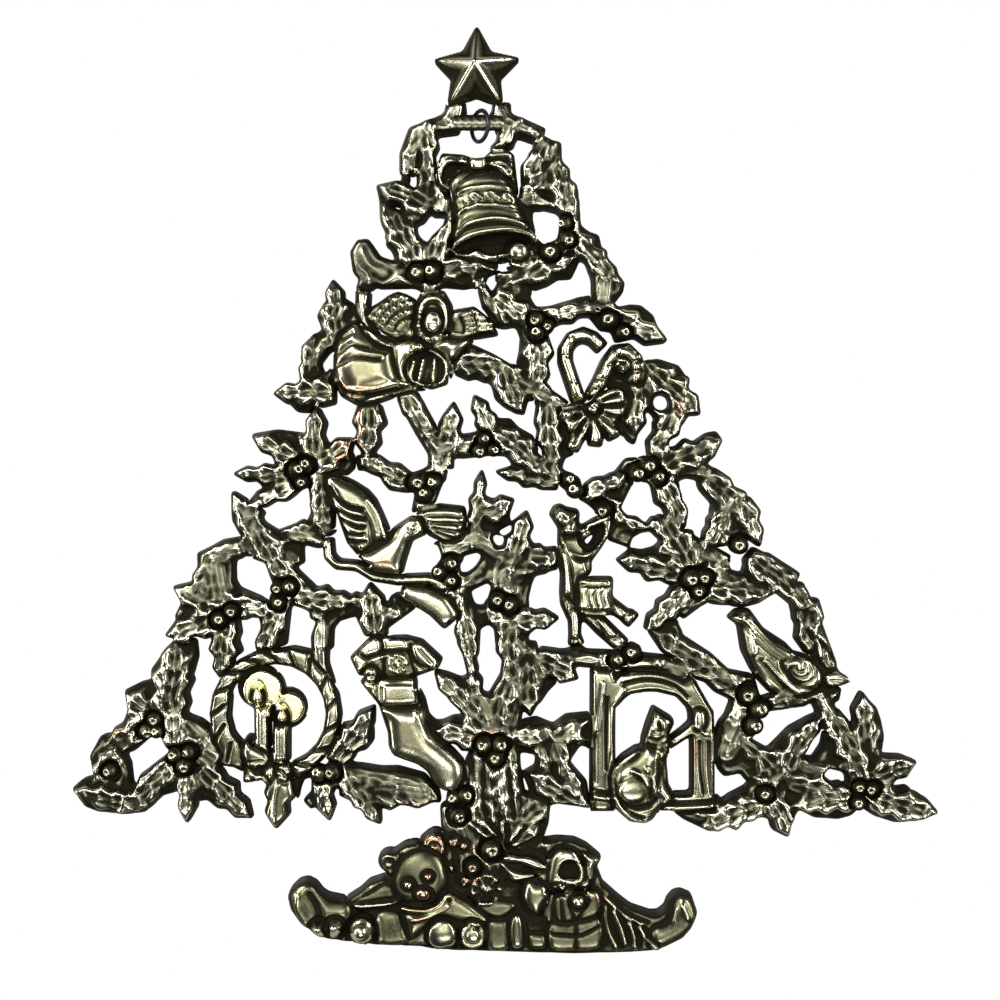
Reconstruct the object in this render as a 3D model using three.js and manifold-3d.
// Metal filigree christmas tree: a flat-backed openwork relief that hangs on a wall.
// Millimetres, +Z up. The back lies on the plane y = 0 and the relief rises toward -Y.
// The origin is at the top of the hole under the star, where a wall hook carries the tree.
import * as THREE from "three";
import { mergeVertices } from "three/addons/utils/BufferGeometryUtils.js";
import Module from "manifold-3d";

const wasm = await Module();
wasm.setup();

// Driving dimensions
const TREE_WIDTH = 216; // tip to tip across the lowest sprays
const TREE_HEIGHT = 231; // underside of the base to the tip of the star
const CLEARANCE = 0.3; // joint line between two neighbouring pieces
const TWIG_DEPTH = 5.6; // front of the round twigs
const LEAF_DEPTH = 5.4; // front of the holly leaves and flat twigs
const BERRY_RISE = 1.2; // height of a berry's dome above its wall
const BERRY_WALL = 6.0;
const BERRY_SIDES = 6;
const FIGURE_DEPTH = 8.2; // front of the figures
const FIGURE_SHOULDER = 5.2; // where a figure's side wall turns into its crown
const LOW_RELIEF = 6.8; // front of wings, ribbons and other flatter figure parts
const BASE_DEPTH = 7.0; // front of the base tray
const WREATH_INNER = 12.8; // twisted ribbon ring round the candles
const WREATH_OUTER = 16.3;
const STAR_PEAK = 9.0;
const STAR_RIM = 5.0;
const RING_MEAN_RADIUS = 3.8; // black wire jump ring
const WIRE_RADIUS = 0.55;
const RING_YAW = THREE.MathUtils.degToRad(33); // resting turn of the ring on its bar
const BAR_HALF_HEIGHT = 2.1; // bar between the hook hole and the opening over the bow
const BAR_HALF_DEPTH = 1.5;
const BAR_CENTRE_Y = -4.5;
const BAR_SIDES = 10;
const SPINE_VALLEY = 0.8; // width between two spines, as a share of the spines beside it

// Outlines are drawn on a sheet of this size. Each finished piece is stretched from it to the real
// width and height, so the pieces keep together and their openings stay open at every size.
const DRAWN_WIDTH = 216;
const DRAWN_HEIGHT = 231;
const STRETCH_X = TREE_WIDTH / DRAWN_WIDTH;
const STRETCH_Z = TREE_HEIGHT / DRAWN_HEIGHT;
const JOINT_LINE = CLEARANCE / Math.sqrt(STRETCH_X * STRETCH_Z); // clearance on the sheet
const BAR_DRAWN_Z = -7.2; // middle of the bar on the sheet

const DARK_BRONZE = 0x3b3524;
const OLD_BRASS = 0x6a5c37;
const PALE_BRASS = 0x8f8054;
const BLACK_WIRE = 0x141414;

// Closed solids from plain geometry

function toSolid(geometry) {
  const bare = new THREE.BufferGeometry();
  bare.setAttribute("position", geometry.getAttribute("position").clone());
  if (geometry.index) bare.setIndex(geometry.index.clone());
  const merged = mergeVertices(bare, 1e-4);
  const triVerts = new Uint32Array(merged.index.array);
  const vertProperties = new Float32Array(merged.getAttribute("position").array);
  return new wasm.Manifold(new wasm.Mesh({ numProp: 3, vertProperties, triVerts }));
}

function toGeometry(solid) {
  const mesh = solid.getMesh();
  const geometry = new THREE.BufferGeometry();
  geometry.setAttribute("position", new THREE.BufferAttribute(new Float32Array(mesh.vertProperties), 3));
  geometry.setIndex(new THREE.BufferAttribute(new Uint32Array(mesh.triVerts), 1));
  return geometry;
}

// Area of an outline of [x, z] points, positive when it runs anticlockwise as seen from the front.
function area(outline) {
  let sum = 0;
  outline.forEach(([x, z], i) => {
    const [nextX, nextZ] = outline[(i + 1) % outline.length];
    sum += x * nextZ - nextX * z;
  });
  return sum / 2;
}

function anticlockwise(outline) {
  return area(outline) < 0 ? [...outline].reverse() : outline;
}

// Outline moved outward by a distance along its corner bisectors.
function grow(outline, distance) {
  const ring = anticlockwise(outline);
  return ring.map(([x, z], i) => {
    const before = new THREE.Vector2(...ring[(i + ring.length - 1) % ring.length]);
    const here = new THREE.Vector2(x, z);
    const after = new THREE.Vector2(...ring[(i + 1) % ring.length]);
    const into = here.clone().sub(before).normalize();
    const out = after.clone().sub(here).normalize();
    const normal = new THREE.Vector2(into.y + out.y, -into.x - out.x).normalize();
    const stretch = Math.max(0.5, normal.x * out.y - normal.y * out.x);
    return [x + (normal.x * distance) / stretch, z + (normal.y * distance) / stretch];
  });
}

// Prism over an outline from one depth to another, depths counted forward from the back plane.
function prism(outline, near, far) {
  const shape = new THREE.Shape(anticlockwise(outline).map(([x, z]) => new THREE.Vector2(x, z)));
  const geometry = new THREE.ExtrudeGeometry(shape, { depth: far - near, bevelEnabled: false, steps: 1 });
  geometry.translate(0, 0, near);
  geometry.rotateX(Math.PI / 2);
  return toSolid(geometry);
}

const PAST_BACK = 1; // how far a cutting prism runs past the back and the front
const PAST_FRONT = 12;

function cutterOf(outline, clearance) {
  return prism(grow(outline, clearance), -PAST_BACK, PAST_FRONT);
}

// A piece of relief: its solid, its outline on the back plane, and the cut it leaves in others.
function relief(outline, build) {
  return { outline, build, cut: (clearance) => cutterOf(outline, clearance) };
}

// Closed skin from corner points, faces given as lists of corner numbers seen from outside.
function skin(corners, faces) {
  const positions = new Float32Array(corners.flat());
  const triangles = faces.flatMap((face) => face.slice(2).flatMap((c, i) => [face[0], face[i + 1], c]));
  const geometry = new THREE.BufferGeometry();
  geometry.setAttribute("position", new THREE.BufferAttribute(positions, 3));
  geometry.setIndex(triangles);
  return toSolid(geometry);
}

// Holly leaf from its base to its tip, with pairs of spines.
// Rows hold [fraction along, left half width, right half width] as shares of the half width.
const SHORT_LEAF = [[0.34, 1, 0.95], [0.7, 0.72, 0.78]];
const LONG_LEAF = [[0.24, 0.86, 0.92], [0.52, 1, 0.96], [0.79, 0.62, 0.66]];
const LONG_LEAF_FROM = 15;
const LEAF_ROOT = 0.62; // half width at the base, as a share of the widest spine

function leafRows(length, spines) {
  const rows = spines ?? (length > LONG_LEAF_FROM ? LONG_LEAF : SHORT_LEAF);
  const all = [[0, LEAF_ROOT, LEAF_ROOT]];
  rows.forEach(([along, left, right], i) => {
    if (i > 0) {
      const [alongBefore, leftBefore, rightBefore] = rows[i - 1];
      const leftValley = SPINE_VALLEY * Math.min(left, leftBefore);
      all.push([(along * 0.4 + alongBefore * 0.6), leftValley, SPINE_VALLEY * Math.min(right, rightBefore)]);
    }
    all.push([along, left, right]);
  });
  return all;
}

function leaf(base, tip, width, { spines } = {}) {
  const from = new THREE.Vector2(...base);
  const along = new THREE.Vector2(...tip).sub(from);
  const length = along.length();
  along.divideScalar(length);
  const left = new THREE.Vector2(-along.y, along.x);
  const rows = leafRows(length, spines);
  const place = (t, side) => [
    from.x + along.x * t * length + left.x * side * width,
    from.y + along.y * t * length + left.y * side * width,
  ];
  const leftSide = rows.map(([t, l]) => place(t, l));
  const rightSide = rows.map(([t, , r]) => place(t, -r));
  return plate([...rightSide, tip, ...leftSide.reverse()], { front: LEAF_DEPTH });
}

// Twig, arm or ribbon: a mitred run through [x, z, half width] points with a bevelled front.
const LIMB_SHOULDER = 0.6; // depth of the side walls, as a share of the front depth
const LIMB_CREST = 0.5; // width of the flat front, as a share of the whole width

function limb(points, { front = TWIG_DEPTH, shoulder = LIMB_SHOULDER, crest = LIMB_CREST } = {}) {
  const sections = points.map(([x, z, half], i) => {
    const [bx, bz] = points[Math.max(0, i - 1)];
    const [ax, az] = points[Math.min(points.length - 1, i + 1)];
    const into = new THREE.Vector2(x - bx, z - bz).normalize();
    const out = new THREE.Vector2(ax - x, az - z).normalize();
    const run = into.clone().add(out).normalize();
    const mitre = half / Math.max(0.6, run.dot(out.length() > 0 ? out : into));
    const left = new THREE.Vector2(-run.y, run.x);
    const side = (share) => [x + left.x * share * mitre, z + left.y * share * mitre];
    return { left: side(1), right: side(-1), crestLeft: side(crest), crestRight: side(-crest) };
  });
  const outline = [...sections.map((s) => s.right), ...sections.map((s) => s.left).reverse()];
  const build = () => {
    const at = ([x, z], depth) => [x, -depth, z];
    const corners = sections.flatMap((s) => [
      at(s.right, 0),
      at(s.right, front * shoulder),
      at(s.crestRight, front),
      at(s.crestLeft, front),
      at(s.left, front * shoulder),
      at(s.left, 0),
    ]);
    const faces = [[0, 1, 2, 3, 4, 5]];
    for (let i = 0; i < sections.length - 1; i += 1) {
      const a = 6 * i;
      const b = a + 6;
      for (let k = 0; k < 6; k += 1) {
        const next = (k + 1) % 6;
        faces.push([a + k, b + k, b + next, a + next]);
      }
    }
    const last = 6 * (sections.length - 1);
    faces.push([last + 5, last + 4, last + 3, last + 2, last + 1, last]);
    return skin(corners, faces);
  };
  return relief(outline, build);
}

function circle(x, z, radius, sides) {
  return Array.from({ length: sides }, (_, i) => {
    const turn = (2 * Math.PI * i) / sides;
    return [x + radius * Math.sin(turn), z + radius * Math.cos(turn)];
  });
}

// Round boss with a bevelled top, such as a berry, an ear or a wheel.
function boss(x, z, radius, { wall = BERRY_WALL, rise = BERRY_RISE, sides = BERRY_SIDES } = {}) {
  const outline = circle(x, z, radius, sides);
  const build = () => {
    const profile = [[0, 0], [radius, 0], [radius, wall], [0, wall + rise]];
    const geometry = new THREE.LatheGeometry(profile.map(([r, h]) => new THREE.Vector2(r, h)), sides);
    geometry.rotateX(Math.PI);
    geometry.translate(x, 0, z);
    return toSolid(geometry);
  };
  return relief(outline, build);
}

// Flat ring round an opening, with bevelled front edges.
const HOOP_SIDES = 20;

function hoop(x, z, inner, outer) {
  const bevel = (outer - inner) / 4;
  const build = () => {
    const profile = [[inner, 0], [outer, 0], [outer, TWIG_DEPTH - bevel], [outer - bevel, TWIG_DEPTH],
      [inner + bevel, TWIG_DEPTH], [inner, TWIG_DEPTH - bevel], [inner, 0]];
    const geometry = new THREE.LatheGeometry(profile.map(([r, h]) => new THREE.Vector2(r, h)), HOOP_SIDES);
    geometry.rotateX(Math.PI);
    geometry.translate(x, 0, z);
    return toSolid(geometry);
  };
  const outside = circle(x, z, outer, HOOP_SIDES);
  const inside = circle(x, z, inner, HOOP_SIDES);
  const cut = (clearance) => cutterOf(outside, clearance).subtract(cutterOf(inside, -clearance));
  return { outline: outside, build, cut };
}

const berry = (x, z, radius) => boss(x, z, radius);

// Plain plate over an outline.
function plate(outline, { front = LOW_RELIEF } = {}) {
  return relief(outline, () => prism(outline, 0, front));
}

// Plate whose roof climbs from a rim to a smaller flat crown round a centre point.
const CROWN_SHARE = 0.5; // size of the crown, as a share of the outline

function dome(outline, centre, { rim = FIGURE_SHOULDER, front = FIGURE_DEPTH, crown = CROWN_SHARE } = {}) {
  const ring = anticlockwise(outline);
  const [cx, cz] = centre;
  const build = () => {
    const at = ([x, z], depth) => [x, -depth, z];
    const count = ring.length;
    const inner = ring.map(([x, z]) => [cx + (x - cx) * crown, cz + (z - cz) * crown]);
    const top = crown > 0 ? inner : [[cx, cz]];
    const corners = [
      ...ring.map((point) => at(point, 0)),
      ...ring.map((point) => at(point, rim)),
      ...top.map((point) => at(point, front)),
    ];
    const faces = THREE.ShapeUtils.triangulateShape(ring.map((p) => new THREE.Vector2(...p)), [])
      .map(([a, b, c]) => [a, c, b]);
    ring.forEach((_, i) => {
      const next = (i + 1) % count;
      faces.push([i, next, count + next, count + i]);
      if (crown > 0) faces.push([count + i, count + next, 2 * count + next, 2 * count + i]);
      else faces.push([count + i, count + next, 2 * count]);
    });
    if (crown > 0) {
      THREE.ShapeUtils.triangulateShape(inner.map((p) => new THREE.Vector2(...p)), [])
        .forEach(([a, b, c]) => faces.push([2 * count + a, 2 * count + b, 2 * count + c]));
    }
    return skin(corners, faces);
  };
  return relief(ring, build);
}

// The pieces, from the foremost to the rearmost. Each one is cut back to a joint line round all
// those before it, and the sprays are also cut clear of the openings listed further down.
const figures = [];
const sprays = [];

function figure(name, colour, parts) {
  figures.push({ name, colour, parts });
}

function spray(name, parts, colour = DARK_BRONZE) {
  sprays.push({ name, colour, parts });
}

// Star over the hook hole

figure("star", OLD_BRASS, [
  dome([
    [-0.3, 17.2], [-3.7, 10.9], [-10.8, 8.9], [-6.5, 4.3], [-7.5, -2.8],
    [-0.4, 0], [6.1, -2.5], [5.4, 4.4], [10.2, 9.3], [3.2, 10.8],
  ], [-0.8, 7.3], { rim: STAR_RIM, front: STAR_PEAK, crown: 0 }),
]);

// Bell with its bow and clapper

figure("bell_bow", OLD_BRASS, [
  limb([[-0.5, -17.6, 1.3], [-4, -16.6, 1.5], [-8, -16.2, 1.4], [-8.9, -18.6, 1.3], [-8.9, -22.6, 1.1]],
    { front: LOW_RELIEF }),
  limb([[0.5, -17.4, 1.3], [4.5, -17.3, 1.6], [7.6, -18.3, 1.5], [7.7, -20.6, 1.2]], { front: LOW_RELIEF }),
  dome([[-1.8, -16.4], [-1.8, -19], [1.8, -19], [1.8, -15.8]], [0, -17.5]),
  plate([[-8, -18], [-2, -18.6], [-4.6, -19.4], [-7.4, -21.4], [-6.8, -24.6], [-8.6, -24.4]],
    { front: LEAF_DEPTH }),
  plate([[1.8, -15.6], [3.4, -14], [6.6, -13.4], [8.8, -15], [9.4, -20.6], [10, -25], [8, -21.6], [5, -18.9],
    [1.8, -18.4]], { front: LEAF_DEPTH }),
]);

figure("bell", OLD_BRASS, [
  dome([
    [-7.5, -21.3], [-5, -19.3], [0, -18.3], [5, -19], [8, -22], [9.3, -24.5], [10, -27], [11.5, -31],
    [14.5, -35.6], [13.4, -38.6], [10, -40.6], [4, -41.8], [-2, -41.4], [-6.9, -40], [-6, -36],
    [-5.8, -30], [-6.5, -24],
  ], [1.5, -30], { crown: 0.62 }),
]);

figure("bell_clapper", PALE_BRASS, [
  boss(10.3, -39.8, 3.2, { wall: FIGURE_DEPTH, rise: 0.8, sides: 12 }),
]);

// Flying angel with a harp

figure("angel_head", OLD_BRASS, [
  dome([
    [-15, -51], [-13.5, -49], [-8.5, -49], [-6.5, -52.5], [-6.6, -57], [-8.6, -60], [-11.4, -61],
    [-14.2, -59.8], [-15.6, -56.5],
  ], [-11.2, -55.5]),
]);

figure("angel_harp", PALE_BRASS, [
  limb([[-17.4, -64.6, 1], [-17, -70.6, 1.1], [-12, -72, 1.1], [-8.8, -71, 1.1], [-8.2, -68.4, 1],
    [-9.4, -65.6, 0.9], [-12.4, -63.6, 0.9]], { front: FIGURE_DEPTH }),
  limb([[-13.2, -64, 0.7], [-13.4, -71.6, 0.7]], { front: LOW_RELIEF }),
  plate([[-17, -64.6], [-12.4, -63.6], [-9, -66], [-8.4, -69], [-9, -71], [-12, -72], [-17, -70.6]],
    { front: TWIG_DEPTH }),
]);

figure("angel_gown", PALE_BRASS, [
  dome([
    [-34.5, -60], [-30, -57.2], [-25.5, -59.4], [-20, -61.3], [-15.5, -61.5], [-11, -62.3], [-7, -65],
    [-5.8, -68], [-6.5, -70], [-10, -73], [-15, -73.5], [-20, -74.8], [-26, -77], [-30, -77.3],
    [-34, -75], [-36, -71], [-35.8, -65],
  ], [-24, -68], { crown: 0.6 }),
  plate([[-16.4, -62], [-15, -60.4], [-8, -60.4], [-1, -60.9], [-2.6, -62.6], [-5.6, -66.4], [-8, -66]]),
]);

figure("angel_wing_left", OLD_BRASS, [
  dome([
    [-27.3, -55.5], [-27, -53.3], [-24.5, -51.8], [-22, -50], [-20, -49.2], [-17.5, -50], [-15.3, -51.3],
    [-15, -54], [-14.6, -58], [-14, -61], [-20, -61], [-24, -59],
  ], [-20, -54.5], { front: LOW_RELIEF, crown: 0.55 }),
]);

figure("angel_wing_right", OLD_BRASS, [
  dome([
    [-6.6, -53.8], [-1, -52.9], [2.4, -55.6], [5, -59.6], [-3, -60.9], [-7.6, -61],
  ], [-2.4, -57], { front: LOW_RELIEF, crown: 0.55 }),
]);

figure("angel_ribbon", DARK_BRONZE, [
  limb([[-28.6, -49, 1.8], [-28.7, -54, 1.6], [-26.4, -59, 1.4], [-21.5, -61.6, 1.1]],
    { front: LOW_RELIEF }),
]);

// Two candy canes tied with a bow

figure("cane_bow", OLD_BRASS, [
  boss(28.6, -78.2, 1.9, { wall: FIGURE_DEPTH - BERRY_RISE }),
  limb([[28, -78.4, 1.2], [30.8, -75.6, 1.5], [34, -74.6, 1.5], [36, -76.6, 1.5], [35.2, -79.4, 1.5],
    [30.6, -79.4, 1.3]], { front: LOW_RELIEF }),
  plate([[30.4, -76], [34, -74.6], [36, -76.6], [35.2, -79.4], [30.6, -79.4]], { front: TWIG_DEPTH }),
  limb([[27.6, -78.2, 1.2], [23.4, -78.4, 1.4], [21.8, -80.4, 1.3], [24, -82.2, 1.3], [27.4, -80.6, 1.2]],
    { front: LOW_RELIEF }),
  limb([[27.6, -79.6, 1.3], [25.6, -83.6, 1.7], [23.4, -88.4, 1.6]], { front: LOW_RELIEF }),
  limb([[28.8, -79.6, 1.3], [29.6, -83.4, 1.6], [29.2, -87.4, 1.6]], { front: LOW_RELIEF }),
  limb([[30, -79.4, 1.2], [32.4, -82.4, 1.5], [34, -85.6, 1.5]], { front: LOW_RELIEF }),
]);

figure("candy_cane_right", PALE_BRASS, [
  limb([[28, -76, 1.9], [30.5, -71.5, 1.9], [32.5, -67, 1.9], [34.5, -64.3, 1.9], [37, -64, 1.9],
    [39, -66, 1.9], [39.6, -69, 1.9], [39.2, -72, 1.8]], { front: LOW_RELIEF }),
]);

figure("candy_cane_left", PALE_BRASS, [
  limb([[31, -63, 1.7], [28.8, -60.7, 1.7], [26.3, -59.7, 1.7], [23.5, -60.8, 1.7], [21.8, -63.5, 1.7],
    [21.8, -66.5, 1.7], [23.3, -71, 1.7], [25.4, -77, 1.7]], { front: LOW_RELIEF }),
]);

// Dove in flight with a ribbon and a horn

figure("dove", PALE_BRASS, [
  dome([
    [-24.4, -108.6], [-22, -109], [-20.5, -107.6], [-16.5, -105], [-15, -105], [-12.8, -109.3],
    [-16.5, -111], [-18, -115.5], [-19, -119.3], [-22, -119.6], [-25, -119], [-29.7, -115],
  ], [-21.5, -113], { crown: 0.5 }),
]);

figure("dove_near_wing", OLD_BRASS, [
  dome([
    [-37.5, -94.8], [-34.5, -94.7], [-31, -96.3], [-27.5, -98.5], [-25.5, -100.8], [-24, -104],
    [-22.5, -107.5], [-22, -109], [-29.6, -115], [-32.5, -111.5], [-34, -107.3], [-36, -101],
  ], [-29.8, -103.8], { front: LOW_RELIEF + 0.4, crown: 0.5 }),
]);

figure("dove_far_wing", OLD_BRASS, [
  dome([
    [-15.5, -104.5], [-14, -103], [-10, -102], [-3.5, -102.7], [-2.7, -106], [-3.7, -110], [-5, -111.2],
    [-9, -111.3], [-13, -109.3], [-14, -106.5],
  ], [-8.8, -106.8], { front: LOW_RELIEF, crown: 0.55 }),
]);

figure("horn", PALE_BRASS, [
  limb([[-19, -123.6, 1.6], [-14, -125, 2.8], [-9.8, -127.2, 3.1], [-6.4, -131.4, 2.6]],
    { front: LOW_RELIEF }),
]);

figure("dove_ribbon", OLD_BRASS, [
  limb([[-37.4, -110.4, 1.2], [-37, -115, 1.2], [-35, -117, 1.2], [-30, -117.4, 1.2], [-26, -119.9, 1.2],
    [-20, -120.9, 1.2], [-12, -120.7, 1.3], [-7.6, -123.2, 1.3]], { front: LOW_RELIEF }),
]);

// Drummer with a drum

figure("drum", PALE_BRASS, [
  dome([[25.3, -120.3], [33.5, -120.3], [33.3, -129.5], [25.7, -129.5]], [29.4, -125], { crown: 0.7 }),
  limb([[32.4, -126.6, 1.7], [37.6, -130.3, 1.5]], { front: TWIG_DEPTH }),
  limb([[39.3, -129, 1], [36.8, -132, 1]], { front: TWIG_DEPTH }),
]);

figure("drummer", OLD_BRASS, [
  dome([
    [18, -104.5], [19, -102.5], [20.5, -102], [21.8, -102.8], [24.8, -103.4], [25.2, -104.5],
    [24.9, -106.2], [25.4, -107.6], [24.6, -109.4], [21, -109.4], [20, -107.6],
  ], [22.4, -105.6], { front: LOW_RELIEF }),
  dome([
    [20.2, -108], [25, -108.6], [28, -115], [28.2, -118.5], [27, -120.5], [27, -130], [22.6, -131],
    [20.8, -127], [20.6, -124], [20.8, -119], [20, -117.5],
  ], [23.6, -117], { front: LOW_RELIEF, crown: 0.4 }),
  limb([[24.4, -110.4, 1.4], [27, -108.4, 1.4], [31, -106, 1.4], [32, -108, 1.3], [29.6, -112, 1.3],
    [27, -115.4, 1.4]], { front: LOW_RELIEF }),
  limb([[24.2, -128.6, 1.5], [24.2, -134.6, 1.3], [24.6, -137, 1.9]], { front: TWIG_DEPTH }),
  limb([[27, -128.6, 2], [31.2, -132.8, 2.1], [36.2, -137.4, 1.9]], { front: TWIG_DEPTH }),
]);

// Stocking full of gifts

figure("stocking_gifts", PALE_BRASS, [
  dome([[-26.5, -135], [-31.7, -140.2], [-29.6, -144.6], [-15, -144.6], [-10, -142.8], [-9, -140.6],
    [-14, -136], [-18, -135], [-24, -135.2]], [-20.4, -140.4], { crown: 0.5 }),
]);

figure("stocking", PALE_BRASS, [
  dome([
    [-29.2, -146.2], [-27.6, -144.8], [-15.6, -144.8], [-15, -150], [-12.5, -156.5], [-10, -160],
    [-13, -163.6], [-21, -164.5], [-22, -162.5], [-22.2, -159], [-24.5, -152],
  ], [-18.6, -154.6], { crown: 0.5 }),
  dome([
    [-10, -160], [-6, -163.5], [-3.5, -166.3], [-3.3, -170], [-5.5, -173], [-8, -173.3], [-10.5, -172],
    [-12.5, -168.5], [-15, -166.7], [-18.5, -165.5], [-21, -164.5], [-19, -160],
  ], [-10.6, -165.6], { crown: 0.5 }),
]);

// Candle wreath

const HALO_DEPTH = 3; // thin discs behind the flames
const HALO_RISE = 0.6;

figure("candle_left", PALE_BRASS, [
  boss(-54.5, -147.5, 5.3, { wall: HALO_DEPTH, rise: HALO_RISE, sides: 16 }),
  limb([[-54.5, -146.4, 0.6], [-54.6, -149.6, 1.1], [-54.4, -152.2, 0.7]], { front: LOW_RELIEF }),
  limb([[-53.9, -152, 1.8], [-53.6, -163, 1.8]], { front: FIGURE_DEPTH - 0.6 }),
]);

figure("candle_right", PALE_BRASS, [
  boss(-47.5, -153, 4.7, { wall: HALO_DEPTH, rise: HALO_RISE, sides: 16 }),
  plate([[-50.4, -142.2], [-49, -143.6], [-45, -145.6], [-43.4, -149], [-44.6, -151], [-48, -149.6],
    [-50, -147]],
    { front: HALO_DEPTH }),
  limb([[-48.6, -152, 0.5], [-48.7, -154.6, 1], [-48.8, -157, 0.7]], { front: LOW_RELIEF }),
  limb([[-49, -156.8, 1.9], [-49, -166, 1.9]], { front: FIGURE_DEPTH - 0.6 }),
]);

figure("candle_holder", OLD_BRASS, [
  leaf([-51, -163.6], [-58.4, -171.4], 3.4, { spines: SHORT_LEAF }),
  limb([[-55.4, -161.4, 1.4], [-52.6, -168, 2.6], [-50, -171.4, 2]], { front: LOW_RELIEF }),
  boss(-48.5, -168.6, 2.4, { wall: LOW_RELIEF - BERRY_RISE }),
  leaf([-49, -170], [-50.4, -183], 4),
]);

// Sitting cat in a window

figure("cat", OLD_BRASS, [
  dome([
    [43.7, -152.5], [48.3, -155.3], [48.8, -156.5], [47.5, -159.3], [47.5, -163.8], [41, -164], [41, -160.5],
    [42, -157],
  ], [44.8, -158], { crown: 0.5 }),
  dome([
    [39.5, -162.5], [47.5, -163], [46.8, -166], [47.3, -172], [48.5, -173.8], [44.7, -178.6],
    [43.5, -180.5], [41.5, -181.4], [38, -181], [33.5, -177], [32.8, -170], [33.5, -167.5], [36, -164.8],
  ], [40.6, -171.6], { crown: 0.5 }),
]);

// Perched bird

figure("cardinal", OLD_BRASS, [
  dome([
    [62.5, -130.2], [64.5, -128.3], [67.5, -128.2], [71, -133], [76.5, -136.6], [80, -140.4], [79, -148],
    [73, -149], [69, -144.7], [66, -138.5], [65, -132],
  ], [72, -140], { crown: 0.5 }),
  dome([
    [75.5, -138], [83, -140], [86.5, -143.5], [93, -146.2], [90, -147.3], [86, -147.5], [81, -149.5],
    [76, -149.2],
  ], [81, -144.5], { front: LOW_RELIEF + 0.5, crown: 0.5 }),
]);

// Base with its toys

const BACK_PLATE = 6.4; // wall of the boxes and heaps on the tray

figure("bear", OLD_BRASS, [
  boss(-15.3, -193.2, 7.2, { wall: BASE_DEPTH, rise: 2, sides: 16 }),
  boss(-22, -190.9, 2.7, { wall: BASE_DEPTH, rise: 0.8, sides: 12 }),
  boss(-10.8, -187.2, 2.7, { wall: BASE_DEPTH, rise: 0.8, sides: 12 }),
  limb([[-20.6, -192.6, 1.6], [-18, -193.6, 1.6]], { front: BASE_DEPTH }),
  limb([[-11.4, -189, 1.6], [-12.4, -191, 1.6]], { front: BASE_DEPTH }),
  dome([[-33, -200.6], [-29, -198], [-27, -196], [-23.3, -194.8], [-19, -196.6], [-17.6, -200.4],
    [-24, -202.4], [-30, -203]], [-26, -199.4], { front: BASE_DEPTH + 0.6, rim: 5.4 }),
]);

figure("bear_paw", PALE_BRASS, [
  boss(-28.7, -207.4, 3.6, { wall: BASE_DEPTH, rise: 1.3, sides: 12 }),
]);

figure("toy_car", PALE_BRASS, [
  dome([[-19.2, -203], [-12, -202.2], [-8.4, -198.6], [-3, -199.6], [1.5, -203.5], [3.6, -209],
    [2, -211.6], [-18.4, -211.4]], [-8, -205.6], { rim: BACK_PLATE, front: BASE_DEPTH + 1, crown: 0.7 }),
  boss(-1.3, -208.6, 3.6, { wall: BASE_DEPTH, rise: 1.3, sides: 12 }),
  boss(-9.2, -208.4, 3.7, { wall: BASE_DEPTH, rise: 1.3, sides: 12 }),
]);

figure("gift_bow", PALE_BRASS, [
  boss(19, -196, 1.9, { wall: BASE_DEPTH, rise: 1.6 }),
  limb([[19, -195.6, 1.2], [18.4, -191, 1.6], [20.6, -188.6, 1.6], [22.6, -190.4, 1.5], [20.4, -195, 1.2]],
    { front: BASE_DEPTH + 1 }),
  plate([[14.4, -194.4], [14, -192.8], [17, -191.4], [18.6, -195], [17.4, -197], [16, -195.6]],
    { front: BACK_PLATE }),
  plate([[19, -195.6], [18.4, -191], [20.6, -188.6], [22.6, -190.4], [20.4, -195]], { front: BACK_PLATE }),
  limb([[20, -196, 1.2], [24.4, -192.4, 1.5], [27, -193.2, 1.5], [26.4, -196, 1.4], [21, -197, 1.2]],
    { front: BASE_DEPTH + 1 }),
  plate([[20, -196], [24.4, -192.4], [27, -193.2], [26.4, -196], [21, -197]], { front: BACK_PLATE }),
]);

figure("gift_box", OLD_BRASS, [
  dome([[17.5, -199], [29.6, -197.6], [30.4, -211.8], [17.8, -211.9]], [24, -205],
    { rim: BACK_PLATE, front: BASE_DEPTH + 0.8, crown: 0.8 }),
]);

figure("heart", PALE_BRASS, [
  dome([[11.5, -195], [10.8, -199], [12, -202], [14.6, -203.7], [16.6, -201], [18, -198.8], [16.6, -195.6],
    [14, -194.5]], [13.8, -198.6], { rim: BACK_PLATE, front: BASE_DEPTH + 0.8 }),
]);

// Holly sprays, twigs and berries

// Flat run of twig, as deep as the leaves on it.
const twig = (points, { front = LEAF_DEPTH } = {}) => plate(limb(points).outline, { front });

// Flat ground between leaves, where they are joined.
const ground = (...outlines) => outlines.map((outline) => plate(outline, { front: LEAF_DEPTH }));

const berries = (...list) => list.map(([x, z, radius]) => berry(x, z, radius));

// The bar under the star is slim and set back from the front, so that the ring can lie round it.
const BAR_REACH = 6; // half length of the bar on the sheet
function bar() {
  const halfHeight = BAR_HALF_HEIGHT / STRETCH_Z;
  const outline = [[-BAR_REACH, BAR_DRAWN_Z - halfHeight], [BAR_REACH, BAR_DRAWN_Z - halfHeight],
    [BAR_REACH, BAR_DRAWN_Z + halfHeight], [-BAR_REACH, BAR_DRAWN_Z + halfHeight]];
  return relief(outline, () => {
    const geometry = new THREE.CylinderGeometry(1, 1, 2 * BAR_REACH, BAR_SIDES);
    geometry.rotateZ(Math.PI / 2);
    geometry.scale(1, BAR_HALF_DEPTH, halfHeight);
    geometry.translate(0, BAR_CENTRE_Y, BAR_DRAWN_Z);
    return toSolid(geometry);
  });
}

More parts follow.
